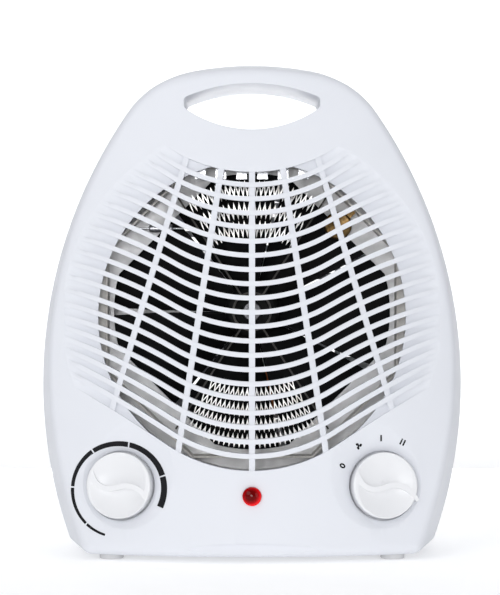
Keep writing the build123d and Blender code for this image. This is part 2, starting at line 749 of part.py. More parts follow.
with BuildPart() as selector_switch:
    add(local_block(KNOB_FRAME_R, -12.5, 12.5, -12.5, 12.5, -17.0, -2.5))
    fillet(selector_switch.edges().filter_by(lambda e: abs(e.length - 14.5) < 0.01), 2.0)
    add(local_round(KNOB_FRAME_R, SPINDLE_R + 0.06, -12.5, 0), mode=Mode.SUBTRACT)
    for x, y in SWITCH_HOLES:
        add(local_round(KNOB_FRAME_R, 1.3, -8.0, 0, x, y), mode=Mode.SUBTRACT)
selector_switch.part.label = "selector_switch"
export_step(selector_switch.part, "parts/selector_switch.step")

with BuildPart() as selector_screws:
    for x, y in SWITCH_HOLES:
        add(local_round(KNOB_FRAME_R, 1.25, -7.0, 0.2, x, y))
        add(local_round(KNOB_FRAME_R, 2.5, 0.05, 1.6, x, y))
selector_screws.part.label = "selector_screws"
export_step(selector_screws.part, "parts/selector_screws.step")

with BuildPart() as selector_terminals:
    for x, y in ((-8, -8), (8, -8), (-8, 8), (8, 8), (0, 0)):
        add(local_block(KNOB_FRAME_R, x - 2.4, x + 2.4, y - 0.4, y + 0.4, -23.0, -17.0))
selector_terminals.part.label = "selector_terminals"
export_step(selector_terminals.part, "parts/selector_terminals.step")

with BuildPart() as pilot_lens:
    with BuildSketch(Plane.YZ):
        with BuildLine():
            tip_y = -DEPTH / 2
            shoulder = (tip_y + 1.7, LAMP_R)
            ThreePointArc((tip_y, 0), (tip_y + 0.46, 2.45), shoulder)
            Polyline(shoulder, (-51.4, LAMP_R), (-51.4, 5.0), (-50.4, 5.0), (-50.4, 3.4),
                     (tip_y + 3.0, 3.4), (tip_y + 1.4, 0), (tip_y, 0))
        make_face()
    revolve(axis=Axis((0, 0, 0), (0, 1, 0)))
pilot_lens.part = pilot_lens.part.moved(Location((0, 0, LAMP_Z)))
pilot_lens.part.label = "pilot_lens"
export_step(pilot_lens.part, "parts/pilot_lens.step")

with BuildPart() as neon_lamp:
    add(disc(0, LAMP_Z, 2.6, -53.0, -40.0))
    fillet(neon_lamp.edges().filter_by(GeomType.CIRCLE), 1.2)
    for x in (-1.2, 1.2):
        add(disc(x, LAMP_Z, 0.35, -40.2, -32.0))
neon_lamp.part.label = "neon_lamp"
export_step(neon_lamp.part, "parts/neon_lamp.step")

print("air path")
ARM_T = 2.0
ARM_W = 8.0
HUB_R = 30.0
BAFFLE_R = 70.5      # mouth of the baffle in front of the fan
BAFFLE_FLAT = 61.5   # its four corners are cut flat this far from the axis
BAFFLE_Y = -4.6

with BuildPart() as arms:
    with BuildSketch(Plane.XZ.offset(-DUCT_BACK)):
        with Locations((0, FAN_Z)):
            for turn in (0, 60, 120):
                Rectangle(2 * DUCT_R - 1, ARM_W, rotation=turn)
            Circle(HUB_R - 2, mode=Mode.SUBTRACT)
    extrude(amount=ARM_T)

with BuildPart() as mouth:
    with BuildSketch(Plane.XZ.offset(-BAFFLE_Y - 3)):
        with Locations((0, FAN_Z)):
            Circle(BAFFLE_R)
            Rectangle(2 * BAFFLE_FLAT, 2 * BAFFLE_FLAT, rotation=45, mode=Mode.INTERSECT)
    extrude(amount=6)

with BuildPart() as air_duct:
    add(tube(0, FAN_Z, DUCT_R, DUCT_R - DUCT_T, DUCT_FRONT, DUCT_BACK))
    add(tube(0, FAN_Z, DUCT_R + 3.2, DUCT_R - DUCT_T, DUCT_FRONT, DUCT_FRONT + 1.4))
    add(disc(0, FAN_Z, DUCT_R, BAFFLE_Y, BAFFLE_Y + 1.4) - mouth.part)
    for x, z in DUCT_SPOTS:
        add(disc(x, FAN_Z + z, 5.4, DUCT_FRONT, DUCT_FRONT + 1.4))
    add(tube(0, FAN_Z, HUB_R, 9.0, DUCT_BACK - ARM_T, DUCT_BACK))
    add(arms.part)
    for x, z in DUCT_SPOTS:
        add(disc(x, FAN_Z + z, 1.4, DUCT_FRONT - 1, DUCT_FRONT + 3), mode=Mode.SUBTRACT)
    for x in (-16.0, 16.0):
        add(disc(x, FAN_Z, 1.65, DUCT_BACK - 4, DUCT_BACK + 1), mode=Mode.SUBTRACT)
air_duct.part.label = "air_duct"
export_step(air_duct.part, "parts/air_duct.step")

with BuildPart() as duct_screws:
    for x, z in DUCT_SPOTS:
        add(pan_screw(x, FAN_Z + z, DUCT_FRONT + 1.4, 3.9, 1.2, 2.6))
duct_screws.part.label = "duct_screws"
export_step(duct_screws.part, "parts/duct_screws.step")

# Heater
MICA = 0.9
FRAME_R = 73.5       # across the flats of the octagonal mica frame, halved
HEAT_Y = (-20.0, -5.0)
CARD_TURN = 33.0     # the mica cards stand this far either side of upright
RIBBON_Y = (-17.0, -11.5)
RIBBON_PITCH = 2.3
TOP_ROWS = (40.5, 50.0, 60.5)
LOW_ROWS = (41.0, 48.8, 56.6, 64.4)

with BuildPart() as mica_frame:
    with BuildSketch(Plane.XZ.offset(-HEAT_Y[1])):
        with Locations((0, FAN_Z)):
            RegularPolygon(FRAME_R, 8, major_radius=False, rotation=22.5)
            RegularPolygon(FRAME_R - MICA, 8, major_radius=False, rotation=22.5, mode=Mode.SUBTRACT)
    extrude(amount=HEAT_Y[1] - HEAT_Y[0])
mica_frame.part.label = "mica_frame"
export_step(mica_frame.part, "parts/mica_frame.step")

with BuildPart() as mica_cards:
    with BuildSketch(Plane.XZ.offset(-HEAT_Y[1] + 1.0)):
        with Locations((0, FAN_Z)):
            for turn in (90 - CARD_TURN, 90 + CARD_TURN):
                Rectangle(2 * FRAME_R - 6, MICA, rotation=turn)
            Circle(10.0)
            Circle(9.0, mode=Mode.SUBTRACT)
    extrude(amount=HEAT_Y[1] - HEAT_Y[0] - 2.0)
mica_cards.part.label = "mica_cards"
export_step(mica_cards.part, "parts/mica_cards.step")


def ribbon_face(row, centre, half_turn, wave, thick):
    """Zigzag heating ribbon on an arc of radius row about the fan axis."""
    folds = max(8, 2 * int(row * radians(half_turn) / RIBBON_PITCH))
    lower = []
    upper = []
    for i in range(2 * folds + 1):
        turn = radians(centre + half_turn - half_turn * i / folds)
        r = row + (wave if i % 2 else -wave)
        lower.append((r * cos(turn), FAN_Z + r * sin(turn)))
        upper.append(((r + thick) * cos(turn), FAN_Z + (r + thick) * sin(turn)))
    with BuildSketch(Plane.XZ.offset(-RIBBON_Y[1])) as face:
        Polygon(lower + upper[::-1], align=None)
    return face.sketch


with BuildPart() as heating_ribbon_top:
    for row in TOP_ROWS:
        extrude(ribbon_face(row, 90.0, 31.0 - 22.0 / row, 3.0, 2.8), amount=RIBBON_Y[1] - RIBBON_Y[0])
heating_ribbon_top.part.label = "heating_ribbon_top"
export_step(heating_ribbon_top.part, "parts/heating_ribbon_top.step")

with BuildPart() as heating_ribbon_bottom:
    for row in LOW_ROWS:
        extrude(ribbon_face(row, -90.0, 31.0 - 22.0 / row, 2.5, 2.3), amount=RIBBON_Y[1] - RIBBON_Y[0])
heating_ribbon_bottom.part.label = "heating_ribbon_bottom"
export_step(heating_ribbon_bottom.part, "parts/heating_ribbon_bottom.step")

with BuildPart() as heater_supports:
    for side in (-1, 1):
        x0, x1 = sorted((side * (FRAME_R + 0.1), side * 82.0))
        add(block(x0, x1, HEAT_Y[0] + 1, HEAT_Y[1] - 1, FAN_Z - 25, FAN_Z + 25))
    add(disc(0, FAN_Z, DUCT_R - DUCT_T - 0.1, -30, 0), mode=Mode.INTERSECT)
heater_supports.part.label = "heater_supports"
export_step(heater_supports.part, "parts/heater_supports.step")

with BuildPart() as heater_terminals:
    for x in (-26.0, -15.6, -5.2, 5.2, 15.6, 26.0):
        add(block(x - 2.6, x + 2.6, HEAT_Y[0] - 1.6, HEAT_Y[0] - 0.1, FAN_Z + 66.5, FAN_Z + FRAME_R))
        add(block(x - 1.0, x + 1.0, HEAT_Y[0] - 0.2, HEAT_Y[0] + 6.0, FAN_Z + 70.5, FAN_Z + FRAME_R - MICA - 0.1))
heater_terminals.part.label = "heater_terminals"
export_step(heater_terminals.part, "parts/heater_terminals.step")

with BuildPart() as thermal_cutout:
    cut_x, cut_z = 43.4, FAN_Z + 43.4
    add(disc(cut_x, cut_z, 7.0, -16.5, -9.5))
    fillet(thermal_cutout.edges().filter_by(GeomType.CIRCLE).sort_by(Axis.Y)[0], 1.2)
    add(disc(cut_x, cut_z, 4.2, -17.6, -16.4))
    add(block(-4, 4, -12.5, -11.5, -1.8, 1.8).rotate(Axis.Y, -45).moved(Location((48.3, 0, FAN_Z + 48.3))))
thermal_cutout.part.label = "thermal_cutout"
export_step(thermal_cutout.part, "parts/thermal_cutout.step")

with BuildPart() as thermal_fuse:
    with BuildSketch(Plane.YZ.offset(-52.0)):
        with Locations((-13.0, FAN_Z + 42.0)):
            Circle(2.0)
    extrude(amount=12.0)
    fillet(thermal_fuse.edges().filter_by(GeomType.CIRCLE), 0.8)
    with BuildSketch(Plane.YZ.offset(-57.5)):
        with Locations((-13.0, FAN_Z + 42.0)):
            Circle(0.5)
    extrude(amount=23.0)
thermal_fuse.part.label = "thermal_fuse"
export_step(thermal_fuse.part, "parts/thermal_fuse.step")

print("fan")
BLADES = 7
TIP_R = 72.0
FAN_Y = 7.7


def blade_section(r, chord, pitch, thick):
    """Rounded blade section facing outwards along X at radius r."""
    plane = Plane(origin=(r, FAN_Y, FAN_Z), x_dir=(0, sin(radians(pitch)), cos(radians(pitch))), z_dir=(1, 0, 0))
    with BuildSketch(plane) as section:
        RectangleRounded(chord, thick, thick * 0.45)
    return section.sketch.faces()[0]


with BuildPart() as blade:
    add(blade_section(12.0, 15.0, 42.0, 1.8))
    add(blade_section(45.0, 45.0, 22.0, 1.6))
    loft(ruled=True)
    add(blade_section(45.0, 45.0, 22.0, 1.6))
    add(blade_section(TIP_R + 1, 67.0, 15.5, 1.4))
    loft(ruled=True)
    add(disc(0, FAN_Z, TIP_R, -10, 30), mode=Mode.INTERSECT)

with BuildPart() as fan_impeller:
    add(disc(0, FAN_Z, 14.0, -1.0, 15.0))
    fillet(fan_impeller.edges().filter_by(GeomType.CIRCLE).sort_by(Axis.Y)[0], 4.0)
    add([blade.part.rotate(Axis((0, 0, FAN_Z), (0, 1, 0)), 360 / BLADES * i) for i in range(BLADES)])
    add(disc(0, FAN_Z, 11.8, 4.0, 16.0) - disc(0, FAN_Z, 5.0, 3.0, 17.0), mode=Mode.SUBTRACT)
    add(disc(0, FAN_Z, SHAFT_R + 0.02, -5, 20), mode=Mode.SUBTRACT)
fan_impeller.part.label = "fan_impeller"
export_step(fan_impeller.part, "parts/fan_impeller.step")

with BuildPart() as impeller_clip:
    add(disc(0, FAN_Z, 5.0, -2.6, -1.1))
    fillet(impeller_clip.edges().filter_by(GeomType.CIRCLE).sort_by(Axis.Y)[0], 0.8)
    add(disc(0, FAN_Z, SHAFT_R + 0.02, -5, 0), mode=Mode.SUBTRACT)
impeller_clip.part.label = "impeller_clip"
export_step(impeller_clip.part, "parts/impeller_clip.step")

with BuildPart() as motor_shaft:
    add(disc(0, FAN_Z, SHAFT_R, -4.0, 50.5))
    chamfer(motor_shaft.edges().filter_by(GeomType.CIRCLE), 0.5)
motor_shaft.part.label = "motor_shaft"
export_step(motor_shaft.part, "parts/motor_shaft.step")

with BuildPart() as motor_rotor:
    add(disc(0, FAN_Z, 12.8, 28.0, 42.0))
    add(disc(0, FAN_Z, 11.5, 26.6, 43.4))
    add(disc(0, FAN_Z, SHAFT_R + 0.02, 20, 50), mode=Mode.SUBTRACT)
motor_rotor.part.label = "motor_rotor"
export_step(motor_rotor.part, "parts/motor_rotor.step")

print("motor")
STATOR_Y = (27.5, 42.5)
BOLT_X = 22.0
CORE_Z = FAN_Z - 40.0   # middle of the bar that carries the winding

with BuildPart() as motor_stator:
    add(block(-27, 27, *STATOR_Y, FAN_Z - 47, FAN_Z + 20))
    fillet(motor_stator.edges().filter_by(Axis.Y), 3.0)
    add(disc(0, FAN_Z, 13.3, 20, 50), mode=Mode.SUBTRACT)
    add(block(-15, 15, 20, 50, FAN_Z - 33.5, FAN_Z - 18.5), mode=Mode.SUBTRACT)
    for side in (-1, 1):
        add(disc(side * BOLT_X, FAN_Z, 1.65, 20, 50), mode=Mode.SUBTRACT)
        for dz in (-7.6, 7.6):
            add(disc(side * 15.2, FAN_Z + dz * 1.35, 1.15, 20, 50), mode=Mode.SUBTRACT)
motor_stator.part.label = "motor_stator"
export_step(motor_stator.part, "parts/motor_stator.step")

with BuildPart() as shading_rings:
    for side in (-1, 1):
        for dz in (-7.6, 7.6):
            add(disc(side * 15.2, FAN_Z + dz * 1.35, 1.1, STATOR_Y[0] - 1.6, STATOR_Y[1] + 1.6))
        for y in (STATOR_Y[0] - 1.6, STATOR_Y[1] + 0.1):
            add(block(side * 15.2 - 1.1, side * 15.2 + 1.1, y, y + 1.5, FAN_Z - 10.3, FAN_Z + 10.3))
shading_rings.part.label = "shading_rings"
export_step(shading_rings.part, "parts/shading_rings.step")

with BuildPart() as motor_winding:
    add(block(-14.4, 14.4, STATOR_Y[0] - 6.4, STATOR_Y[1] + 6.4, FAN_Z - 54, FAN_Z - 26.5))
    fillet(motor_winding.edges().filter_by(Axis.X), 4.0)
    add(block(-27, 27, STATOR_Y[0] - 0.1, STATOR_Y[1] + 0.1, FAN_Z - 47.1, FAN_Z - 33.4), mode=Mode.SUBTRACT)
motor_winding.part.label = "motor_winding"
export_step(motor_winding.part, "parts/motor_winding.step")


def bearing_bracket(y_strap, y_foot, out):
    """Pressed strap across the motor, flat over the shaft with feet on the laminations."""
    y0, y1 = sorted((y_strap, y_strap + out * 1.6))
    f0, f1 = sorted((y_foot, y_foot + out * 1.6))
    s0, s1 = sorted((y_strap + out * 1.6, y_foot))
    with BuildPart() as body:
        add(block(-18.2, 18.2, y0, y1, FAN_Z - 6.5, FAN_Z + 6.5))
        for side in (-1, 1):
            a, b = sorted((side * 16.7, side * 18.2))
            add(block(a, b, min(s0, y0), max(s1, y1), FAN_Z - 6.5, FAN_Z + 6.5))
            a, b = sorted((side * 16.7, side * 26.0))
            add(block(a, b, f0, f1, FAN_Z - 6.5, FAN_Z + 6.5))
            add(disc(side * BOLT_X, FAN_Z, 1.65, 15, 55), mode=Mode.SUBTRACT)
        add(disc(0, FAN_Z, 5.05, 15, 55), mode=Mode.SUBTRACT)
    return body.part


with BuildPart() as front_bracket:
    add(bearing_bracket(DUCT_BACK + 1.7, STATOR_Y[0] - 0.1, -1))
    for x in (-16.0, 16.0):
        add(disc(x, FAN_Z, 1.3, 15, 24), mode=Mode.SUBTRACT)
front_bracket.part.label = "front_bracket"
export_step(front_bracket.part, "parts/front_bracket.step")

with BuildPart() as rear_bracket:
    add(bearing_bracket(STATOR_Y[1] + 5.2, STATOR_Y[1] + 0.1, 1))
rear_bracket.part.label = "rear_bracket"
export_step(rear_bracket.part, "parts/rear_bracket.step")

with BuildPart() as shaft_bearings:
    for y0, y1 in ((DUCT_BACK - 1.0, DUCT_BACK + 5.0), (STATOR_Y[1] + 3.0, STATOR_Y[1] + 7.4)):
        add(tube(0, FAN_Z, 5.0, SHAFT_R + FIT, y0, y1))
shaft_bearings.part.label = "shaft_bearings"
export_step(shaft_bearings.part, "parts/shaft_bearings.step")

with BuildPart() as motor_screws:
    for x in (-16.0, 16.0):
        add(pan_screw(x, FAN_Z, DUCT_BACK - ARM_T, 5.6, 1.25, 2.6, toward=1))
motor_screws.part.label = "motor_screws"
export_step(motor_screws.part, "parts/motor_screws.step")

with BuildPart() as stator_bolts:
    for side in (-1, 1):
        add(disc(side * BOLT_X, FAN_Z, 1.6, STATOR_Y[0] - 3.0, STATOR_Y[1] + 3.2))
        add(disc(side * BOLT_X, FAN_Z, 3.0, STATOR_Y[1] + 1.8, STATOR_Y[1] + 4.0))
        add(disc(side * BOLT_X, FAN_Z, 2.8, STATOR_Y[0] - 4.2, STATOR_Y[0] - 1.8))
stator_bolts.part.label = "stator_bolts"
export_step(stator_bolts.part, "parts/stator_bolts.step")
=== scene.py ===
import json
import math

import bmesh
import bpy
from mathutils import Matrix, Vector
from mathutils.bvhtree import BVHTree


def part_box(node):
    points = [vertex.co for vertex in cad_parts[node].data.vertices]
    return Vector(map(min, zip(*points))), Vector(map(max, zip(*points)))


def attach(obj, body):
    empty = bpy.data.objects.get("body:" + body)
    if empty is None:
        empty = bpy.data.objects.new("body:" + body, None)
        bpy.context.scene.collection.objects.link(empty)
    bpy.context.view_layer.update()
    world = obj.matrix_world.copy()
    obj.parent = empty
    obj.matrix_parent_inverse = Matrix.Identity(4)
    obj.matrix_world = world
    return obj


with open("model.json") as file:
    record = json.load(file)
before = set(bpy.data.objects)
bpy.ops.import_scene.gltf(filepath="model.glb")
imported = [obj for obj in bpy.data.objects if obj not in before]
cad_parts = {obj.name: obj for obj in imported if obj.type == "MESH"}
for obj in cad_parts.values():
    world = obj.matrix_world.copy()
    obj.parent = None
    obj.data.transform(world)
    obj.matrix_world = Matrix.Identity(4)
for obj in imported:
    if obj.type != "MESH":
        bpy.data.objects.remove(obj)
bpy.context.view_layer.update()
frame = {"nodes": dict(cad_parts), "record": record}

MM = 0.001
record = frame["record"]
nodes = frame["nodes"]
scene = bpy.context.scene


# ---------------------------------------------------------------- materials

def new_material(name):
    """Empty node material with a Principled shader, returned as (material, nodes, links, shader)."""
    mat = bpy.data.materials.new(name)
    mat.use_nodes = True
    tree = mat.node_tree
    shader = tree.nodes["Principled BSDF"]
    return mat, tree.nodes, tree.links, shader


def noise(tree_nodes, links, scale, detail=2.0, rough=0.5, stretch=None):
    """Noise in object space; a larger scale gives a finer pattern, and stretch is per axis."""
    coord = tree_nodes.new("ShaderNodeTexCoord")
    mapping = tree_nodes.new("ShaderNodeMapping")
    if stretch:
        mapping.inputs["Scale"].default_value = stretch
    tex = tree_nodes.new("ShaderNodeTexNoise")
    tex.inputs["Scale"].default_value = scale
    tex.inputs["Detail"].default_value = detail
    tex.inputs["Roughness"].default_value = rough
    links.new(coord.outputs["Object"], mapping.inputs["Vector"])
    links.new(mapping.outputs["Vector"], tex.inputs["Vector"])
    return tex


def ramp(tree_nodes, links, source, stops):
    """Colour ramp over a texture's factor, stops as (position, rgb or grey)."""
    node = tree_nodes.new("ShaderNodeValToRGB")
    elements = node.color_ramp.elements
    for i, (pos, colour) in enumerate(stops):
        element = elements[i] if i < 2 else elements.new(pos)
        element.position = pos
        if isinstance(colour, (int, float)):
            colour = (colour, colour, colour)
        element.color = (*colour, 1.0)
    links.new(source, node.inputs["Fac"])
    return node


def spread(colour, amount):
    """Two shades either side of a colour."""
    dark = tuple(max(0.0, c * (1 - amount)) for c in colour)
    light = tuple(min(1.0, c * (1 + amount)) for c in colour)
    return dark, light


def add_bump(tree_nodes, links, shader, height, strength, distance):
    """Fine surface texture from a height pattern, distance in metres."""
    bump = tree_nodes.new("ShaderNodeBump")
    bump.inputs["Strength"].default_value = strength
    bump.inputs["Distance"].default_value = distance
    links.new(height, bump.inputs["Height"])
    links.new(bump.outputs["Normal"], shader.inputs["Normal"])


def plastic(name, colour, rough, mottle=0.015, grain=2600.0, grain_depth=0.00002, coat=0.0, shine=0.5,
            ior=1.5):
    """Moulded plastic: faint tone drift, fine spark-eroded grain, uneven gloss."""
    mat, tn, links, shader = new_material(name)
    drift = noise(tn, links, 14.0, 3.0)
    dark, light = spread(colour, mottle)
    tone = ramp(tn, links, drift.outputs["Fac"], ((0.3, dark), (0.7, light)))
    links.new(tone.outputs["Color"], shader.inputs["Base Color"])
    patch = noise(tn, links, 60.0, 4.0)
    gloss = ramp(tn, links, patch.outputs["Fac"], ((0.3, rough * 0.9), (0.7, rough * 1.12)))
    links.new(gloss.outputs["Color"], shader.inputs["Roughness"])
    fine = noise(tn, links, grain, 2.0, 0.6)
    add_bump(tn, links, shader, fine.outputs["Fac"], 0.25, grain_depth)
    shader.inputs["IOR"].default_value = ior
    if coat:
        shader.inputs["Coat Weight"].default_value = coat
        shader.inputs["Coat Roughness"].default_value = 0.12
    shader.inputs["Specular IOR Level"].default_value = shine
    return mat


def metal(name, colour, rough, grain=900.0, stretch=(1.0, 1.0, 1.0), mottle=0.08, metallic=1.0):
    """Metal with rolling grain and uneven polish."""
    mat, tn, links, shader = new_material(name)
    shader.inputs["Metallic"].default_value = metallic
    drift = noise(tn, links, 90.0, 4.0)
    dark, light = spread(colour, mottle)
    tone = ramp(tn, links, drift.outputs["Fac"], ((0.3, dark), (0.7, light)))
    links.new(tone.outputs["Color"], shader.inputs["Base Color"])
    lines = noise(tn, links, grain, 3.0, 0.6, stretch)
    gloss = ramp(tn, links, lines.outputs["Fac"], ((0.3, rough * 0.75), (0.7, rough * 1.3)))
    links.new(gloss.outputs["Color"], shader.inputs["Roughness"])
    add_bump(tn, links, shader, lines.outputs["Fac"], 0.3, 0.00002)
    return mat


def mineral(name, colour, rough, flake=700.0, mottle=0.18):
    """Mica sheet or unglazed ceramic: flecked tone and a dry surface."""
    mat, tn, links, shader = new_material(name)
    flecks = noise(tn, links, flake, 5.0, 0.65)
    dark, light = spread(colour, mottle)
    tone = ramp(tn, links, flecks.outputs["Fac"], ((0.35, dark), (0.65, light)))
    links.new(tone.outputs["Color"], shader.inputs["Base Color"])
    broad = noise(tn, links, 120.0, 3.0)
    gloss = ramp(tn, links, broad.outputs["Fac"], ((0.3, rough * 0.85), (0.7, min(1.0, rough * 1.15))))
    links.new(gloss.outputs["Color"], shader.inputs["Roughness"])
    add_bump(tn, links, shader, flecks.outputs["Fac"], 0.35, 0.00005)
    return mat


def heated_alloy(name):
    """Resistance ribbon: bright, with faint straw heat tints along the folds."""
    mat, tn, links, shader = new_material(name)
    shader.inputs["Metallic"].default_value = 0.45
    tint = noise(tn, links, 160.0, 4.0)
    tone = ramp(tn, links, tint.outputs["Fac"],
                ((0.30, (0.80, 0.78, 0.76)), (0.55, (0.95, 0.94, 0.93)), (0.72, (0.80, 0.75, 0.68))))
    links.new(tone.outputs["Color"], shader.inputs["Base Color"])
    gloss = ramp(tn, links, tint.outputs["Fac"], ((0.3, 0.28), (0.7, 0.45)))
    links.new(gloss.outputs["Color"], shader.inputs["Roughness"])
    return mat


# where the lens's painted shade sits: its painted dark middle is moved left and up from the centre
LENS_SHADE_LEFT, LENS_SHADE_UP = 0.10, 0.12    # shift of the lens's dark middle, as shares of its radius


def lens_red_painted_light(name):
    """Red lens: deep red a little above and left of the middle, brighter toward the rim; the dark middle
    is painted shade and the bright rim is painted glow, not the lens's own colour.
    """
    mat, tn, links, shader = new_material(name)
    low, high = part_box("pilot_lens")
    reach = (high[0] - low[0]) / 2
    middle_z = (low[2] + high[2]) / 2
    coord = tn.new("ShaderNodeTexCoord")
    centre = tn.new("ShaderNodeMapping")
    centre.inputs["Scale"].default_value = (1 / reach, 0.0, 1 / reach)
    centre.inputs["Location"].default_value = (LENS_SHADE_LEFT, 0.0, -middle_z / reach - LENS_SHADE_UP)
    ball = tn.new("ShaderNodeTexGradient")
    ball.gradient_type = "SPHERICAL"
    links.new(coord.outputs["Object"], centre.inputs["Vector"])
    links.new(centre.outputs["Vector"], ball.inputs["Vector"])
    # painted light: a bright red rim and a deep red middle stand in for light glowing through the dome
    # and shade inside it
    tone = ramp(tn, links, ball.outputs["Fac"],
                ((0.06, (0.86, 0.012, 0.016)), (0.28, (0.36, 0.0, 0.002)), (0.55, (0.13, 0.0, 0.0))))
    links.new(tone.outputs["Color"], shader.inputs["Base Color"])
    swirl = noise(tn, links, 500.0, 3.0)
    gloss = ramp(tn, links, swirl.outputs["Fac"], ((0.3, 0.05), (0.7, 0.09)))
    links.new(gloss.outputs["Color"], shader.inputs["Roughness"])
    shader.inputs["Specular IOR Level"].default_value = 0.14
    return mat


def glass(name, colour):
    """Thin tinted lamp glass."""
    mat, tn, links, shader = new_material(name)
    streak = noise(tn, links, 300.0, 2.0)
    dark, light = spread(colour, 0.05)
    tone = ramp(tn, links, streak.outputs["Fac"], ((0.3, dark), (0.7, light)))
    links.new(tone.outputs["Color"], shader.inputs["Base Color"])
    shader.inputs["Roughness"].default_value = 0.04
    shader.inputs["Transmission Weight"].default_value = 0.9
    return mat


def ink(name, colour):
    """Pad-printed ink with a slightly broken gloss."""
    mat, tn, links, shader = new_material(name)
    film = noise(tn, links, 1500.0, 4.0)
    dark, light = spread(colour, 0.25)
    tone = ramp(tn, links, film.outputs["Fac"], ((0.3, dark), (0.7, light)))
    links.new(tone.outputs["Color"], shader.inputs["Base Color"])
    gloss = ramp(tn, links, film.outputs["Fac"], ((0.3, 0.7), (0.7, 0.85)))
    links.new(gloss.outputs["Color"], shader.inputs["Roughness"])
    shader.inputs["Specular IOR Level"].default_value = 0.15
    return mat


CASING = plastic("casing_plastic", (0.72, 0.735, 0.775), 0.46, coat=0.0, shine=0.5, ior=1.3)
KNOB = plastic("knob_plastic", (0.765, 0.77, 0.785), 0.38, coat=0.1, shine=0.4)
SLOT_MATERIALS = {
    "white_abs": CASING,
    "knob_abs": KNOB,
    "black_plastic": plastic("fan_plastic", (0.006, 0.006, 0.007), 0.6, mottle=0.3, grain=1500.0,
                             shine=0.2),
    "switch_plastic": plastic("switch_plastic", (0.62, 0.60, 0.54), 0.5),
    "rubber": plastic("foot_rubber", (0.58, 0.58, 0.59), 0.78, mottle=0.06, grain=1200.0,
                      grain_depth=0.00006),
    "steel": metal("plated_steel", (0.62, 0.63, 0.66), 0.32),
    "duct_steel": metal("duct_steel", (0.90, 0.90, 0.91), 0.5, grain=260.0, stretch=(1.0, 8.0, 1.0),
                        mottle=0.10, metallic=0.2),
    "laminations": metal("laminations", (0.20, 0.20, 0.22), 0.5, grain=900.0, stretch=(0.2, 6.0, 0.2)),
    "brass": metal("brass", (0.20, 0.125, 0.05), 0.42, mottle=0.6),
    "bronze": metal("bronze", (0.48, 0.30, 0.15), 0.45),
    "copper": metal("copper", (0.75, 0.36, 0.20), 0.3),
    "winding": metal("winding", (0.20, 0.07, 0.03), 0.45, grain=700.0, stretch=(6.0, 1.0, 1.0)),
    "mica": mineral("mica", (0.74, 0.71, 0.66), 0.5, mottle=0.12),
    "ceramic": mineral("ceramic", (0.74, 0.72, 0.68), 0.6, mottle=0.06),
    "resistance_alloy": heated_alloy("resistance_alloy"),
    "red_lens": lens_red_painted_light("pilot_red_painted_light"),
    "lamp_glass": glass("lamp_glass", (0.95, 0.75, 0.65)),
}
INK = ink("scale_ink", (0.012, 0.012, 0.014))

# nodes that look different from the rest of their material slot
NODE_MATERIALS = {
    # mica cards painted near-black, much darker than real mica: painted shade for their thin edges inside
    # the heater
    "mica_cards": mineral("card_edge_painted_shade", (0.07, 0.065, 0.06), 0.7),
    "impeller_clip": metal("spring_steel", (0.16, 0.16, 0.17), 0.4),
}

slot_of = {part["node"]: part["material_slot"] for part in record["subparts"]}
for name, obj in nodes.items():
    obj.data.materials.clear()
    obj.data.materials.append(NODE_MATERIALS.get(name, SLOT_MATERIALS[slot_of[name]]))


SHARP_TURN = 35.0      # edges that turn more than this are rounded, degrees
WELD_GAP = 0.002       # vertices closer than this are joined first, mm


def soften(name, width):
    """Round the sharp edges of a moulded piece, width in mm."""
    join = nodes[name].modifiers.new("join", "WELD")
    join.merge_threshold = WELD_GAP * MM
    edge = nodes[name].modifiers.new("edge", "BEVEL")
    edge.width = width * MM
    edge.segments = 3
    edge.limit_method = "ANGLE"
    edge.angle_limit = math.radians(SHARP_TURN)
    edge.use_clamp_overlap = True
    edge.miter_outer = "MITER_ARC"


soften("front_cover", 0.7)
soften("thermostat_knob", 0.6)
soften("selector_knob", 0.6)


# ---------------------------------------------------------------- printed marks

def control_frame(joint_name):
    """Origin, right, up and outward directions of a control, from its joint."""
    joint = next(j for j in record["behaviour"]["joints"] if j["name"] == joint_name)
    out = Vector(joint["axis"]).normalized()
    up = (Vector((0, 0, 1)) - out * out.z).normalized()
    return Vector(joint["pos_m"]), up.cross(out), up, out


COVER_TREE = BVHTree.FromObject(nodes["front_cover"], bpy.context.evaluated_depsgraph_get())
RAY_START = 50.0       # rays start this far outside a control and reach RAY_REACH inward, mm
RAY_REACH = 80.0
PRINT_LIFT = 0.06      # middle of the ink film above the face, mm
PRINT_THICK = 0.09


def printed(name, control, grids):
    """Ink film laid on the front cover; grids are rows of (right, up) points in mm about the control."""
    origin, right, up, out = control
    bm = bmesh.new()
    for grid in grids:
        rows = []
        for row in grid:
            verts = []
            for u, v in row:
                start = origin + (right * u + up * v) * MM + out * RAY_START * MM
                hit, normal, _, _ = COVER_TREE.ray_cast(start, -out, RAY_REACH * MM)
                if normal.dot(out) < 0:
                    normal = -normal
                verts.append(bm.verts.new(hit + normal * PRINT_LIFT * MM))
            rows.append(verts)
        for a, b in zip(rows, rows[1:]):
            for i in range(len(a) - 1):
                bm.faces.new((a[i], a[i + 1], b[i + 1], b[i]))
    bmesh.ops.recalc_face_normals(bm, faces=bm.faces)
    mesh = bpy.data.meshes.new(name)
    bm.to_mesh(mesh)
    bm.free()
    obj = bpy.data.objects.new(name, mesh)
    scene.collection.objects.link(obj)
    thick = obj.modifiers.new("film", "SOLIDIFY")
    thick.thickness = PRINT_THICK * MM
    thick.offset = 0.0
    mesh.materials.append(INK)
    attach(obj, "casing")


def polar(r, turn):
    """Point at a radius and an angle in degrees, anticlockwise from the right."""
    return r * math.cos(math.radians(turn)), r * math.sin(math.radians(turn))


LEFT = control_frame("thermostat_turn")
RIGHT = control_frame("selector_turn")

